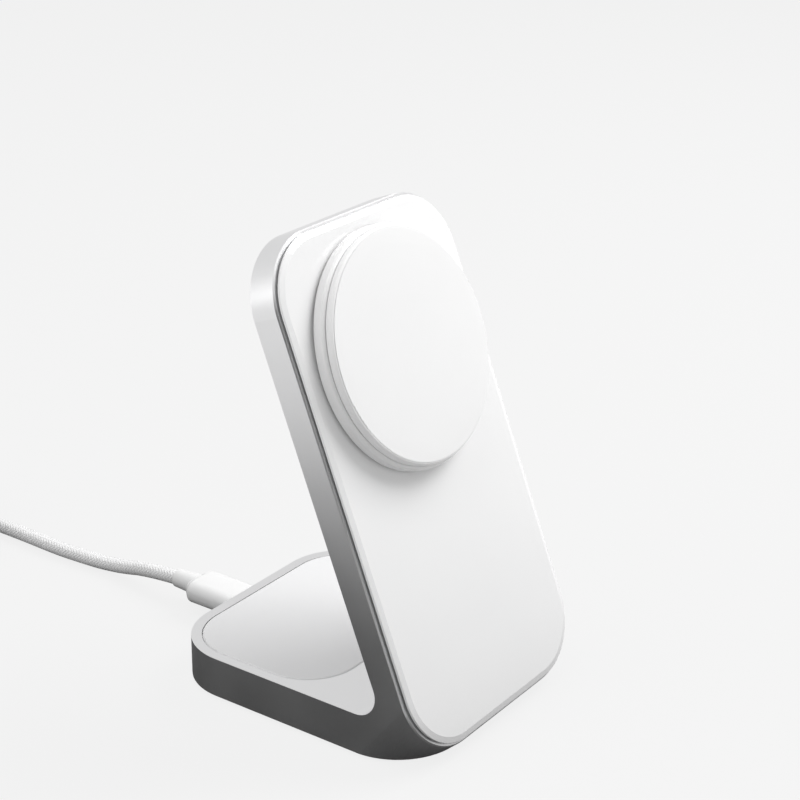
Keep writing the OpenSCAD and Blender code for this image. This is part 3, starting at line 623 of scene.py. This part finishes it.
def long_collar(node, name, grip, along):
    """A plug's strain collar, drawn out along the lead and rooted in the grip."""
    piece = merged_copy(node, name)
    pick(piece, lambda place: True)
    middle = [0.0, 0.0, 0.0]
    middle[along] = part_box(grip)[1][along] + COLLAR_KEEPS
    factors = [1.0, 1.0, 1.0]
    factors[along] = COLLAR_STRETCH
    resize(middle, factors)
    round_edges(piece, COLLAR_ROUND, COLLAR_STEPS, PLUG_SMOOTH)
    return stand_in(piece, node)


softened_plate("front_plate", "front_plate_gloss", FRONT_ROUND)
softened_plate("base_plate", "base_plate_gloss", BASE_ROUND)
eased_pad()
near_grip = moulded_grip("plug_grip", "plug_grip_moulded", REARWARD)
near_collar = long_collar("plug_strain_collar", "plug_collar_moulded", "plug_grip", REARWARD)
far_grip = moulded_grip("far_plug_grip", "far_plug_grip_moulded", ACROSS)
far_collar = long_collar("far_plug_strain_collar", "far_plug_collar_moulded",
                         "far_plug_grip", ACROSS)

centres = lead_centres()
lead = braided_tube("braided_lead", centres, LEAD_D)
lead.data.materials.append(BRAID_WHITE)
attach(lead, "root")
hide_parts("lead_run", "lead_coil", "lead_end")

# Floor, light and world

BACKGROUND = 0.896
FLOOR_SIZE = 6.0
FLOOR_LEVEL = -0.0002
FLOOR_TONE = 0.80
# What the camera sees of the floor: its plain tone, and the share of that over its own shading
FLOOR_PLAIN = 0.90
FLOOR_PLAIN_SHARE = 0.92
# The floor under the stand is painted dark, a painted shadow that light and reflections meet:
# tone by distance, in metres
PAINTED_SHADOW_MIDDLE = (-0.045, 0.02, 0.0)
PAINTED_SHADOW_TONES = ((0.03, 0.02), (0.065, 0.045), (0.10, 0.13), (0.14, 0.40), (0.18, FLOOR_TONE))
FLAG_AT = (-0.75, -0.80, 0.30)
FLAG_SIZE = (1.1, 0.8)
FLAG_TONE = 0.10
MATTE = 0.9
WORLD_LEVEL = 0.40
WORLD_IN_GLOSS = 0.79
STAND_MIDDLE = (0, 0, 0.06)
# Each softbox: its name, its place, what it points at, its sides in metres and its power
SOFTBOXES = (
    ("key_softbox", (0.50, -0.28, 0.66), STAND_MIDDLE, (0.50, 0.50), 6.4),
    ("top_softbox", (-0.25, 0.3, 1.1), (0, 0.03, 0), (0.8, 0.8), 3.1),
    ("left_softbox", (-0.90, 0.42, 0.55), STAND_MIDDLE, (1.2, 0.8), 2.9),
)


def studio_floor():
    """The camera sees a plain pale floor; its middle is painted dark, a painted shadow under
    the stand that light and reflections meet.
    """
    bpy.ops.mesh.primitive_plane_add(size=FLOOR_SIZE, location=(0, 0, FLOOR_LEVEL))
    floor = bpy.context.object
    floor.name = "studio_floor"
    made = Recipe("pale_studio_floor", MATTE)
    tree = made.tree
    away = tree.nodes.new("ShaderNodeVectorMath")
    away.operation = "DISTANCE"
    made.plug(made.place, away.inputs[0])
    away.inputs[1].default_value = PAINTED_SHADOW_MIDDLE
    # The painted shadow on the floor round the stand, darkest nearest it.
    ramp = tree.nodes.new("ShaderNodeValToRGB")
    reach = PAINTED_SHADOW_TONES[-1][0]
    made.plug(made.math("DIVIDE", away.outputs["Value"], reach), ramp.inputs["Fac"])
    stops = ramp.color_ramp.elements
    while len(stops) < len(PAINTED_SHADOW_TONES):
        stops.new(1.0)
    for stop, (distance, tone) in zip(stops, PAINTED_SHADOW_TONES):
        stop.position = distance / reach
        stop.color = (tone, tone, tone, 1.0)
    path = tree.nodes.new("ShaderNodeLightPath")
    pale = made.blend(made.noise(3.0), (FLOOR_TONE,) * 3, (0.98 * FLOOR_TONE,) * 3)
    made.colour(made.blend(path.outputs["Is Camera Ray"], ramp.outputs["Color"], pale))
    # Reflections meet the painted shadow too; the camera sees the plain tone.
    mirrored = made.math("MAXIMUM", path.outputs["Is Glossy Ray"],
                         path.outputs["Is Transmission Ray"])
    mirrored = made.math("MULTIPLY", mirrored, ramp.outputs["Color"])
    seen = made.math("MAXIMUM", path.outputs["Is Camera Ray"], mirrored)
    glow = tree.nodes.new("ShaderNodeEmission")
    glow.inputs["Color"].default_value = (FLOOR_PLAIN, FLOOR_PLAIN, FLOOR_PLAIN, 1.0)
    mix = tree.nodes.new("ShaderNodeMixShader")
    tree.links.new(made.math("MULTIPLY", seen, FLOOR_PLAIN_SHARE), mix.inputs["Fac"])
    tree.links.new(made.shader.outputs[0], mix.inputs[1])
    tree.links.new(glow.outputs[0], mix.inputs[2])
    tree.links.new(mix.outputs[0], tree.nodes["Material Output"].inputs["Surface"])
    floor.data.materials.append(made.material)


def dark_flag():
    """A dark flag behind the camera, which only reflections in the metal and the gloss meet."""
    bpy.ops.mesh.primitive_plane_add(size=1.0, location=FLAG_AT)
    flag = bpy.context.object
    flag.name = "dark_flag"
    flag.scale = (*FLAG_SIZE, 1.0)
    towards = Vector(STAND_MIDDLE) - flag.location
    flag.rotation_euler = towards.to_track_quat("Z", "Y").to_euler()
    made = Recipe("dark_flag", MATTE)
    made.colour(made.blend(made.noise(4.0), (FLAG_TONE,) * 3, (0.8 * FLAG_TONE,) * 3))
    flag.data.materials.append(made.material)
    flag.visible_camera = False
    flag.visible_shadow = False
    flag.visible_diffuse = False


def softbox(name, place, aim, size, power):
    lamp = bpy.data.lights.new(name, "AREA")
    lamp.shape = "RECTANGLE"
    lamp.size, lamp.size_y = size
    lamp.energy = power
    box = bpy.data.objects.new(name, lamp)
    bpy.context.scene.collection.objects.link(box)
    box.location = place
    box.rotation_euler = (Vector(aim) - Vector(place)).to_track_quat("-Z", "Y").to_euler()
    box.visible_camera = False


def studio_world():
    world = bpy.data.worlds.new("studio_world")
    world.use_nodes = True
    tree = world.node_tree
    path = tree.nodes.new("ShaderNodeLightPath")
    below = tree.nodes["Background"]
    below.inputs["Color"].default_value = (1, 1, 1, 1)
    below.inputs["Strength"].default_value = WORLD_LEVEL
    shown = below
    for ray, level in (("Is Glossy Ray", WORLD_IN_GLOSS), ("Is Camera Ray", BACKGROUND)):
        seen = tree.nodes.new("ShaderNodeBackground")
        seen.inputs["Color"].default_value = (1, 1, 1, 1)
        seen.inputs["Strength"].default_value = level
        mix = tree.nodes.new("ShaderNodeMixShader")
        tree.links.new(path.outputs[ray], mix.inputs["Fac"])
        tree.links.new(shown.outputs[0], mix.inputs[1])
        tree.links.new(seen.outputs[0], mix.inputs[2])
        shown = mix
    tree.links.new(shown.outputs[0], tree.nodes["World Output"].inputs["Surface"])
    bpy.context.scene.world = world


studio_floor()
dark_flag()
for softbox_facts in SOFTBOXES:
    softbox(*softbox_facts)
studio_world()
bpy.context.scene.view_settings.view_transform = "Standard"
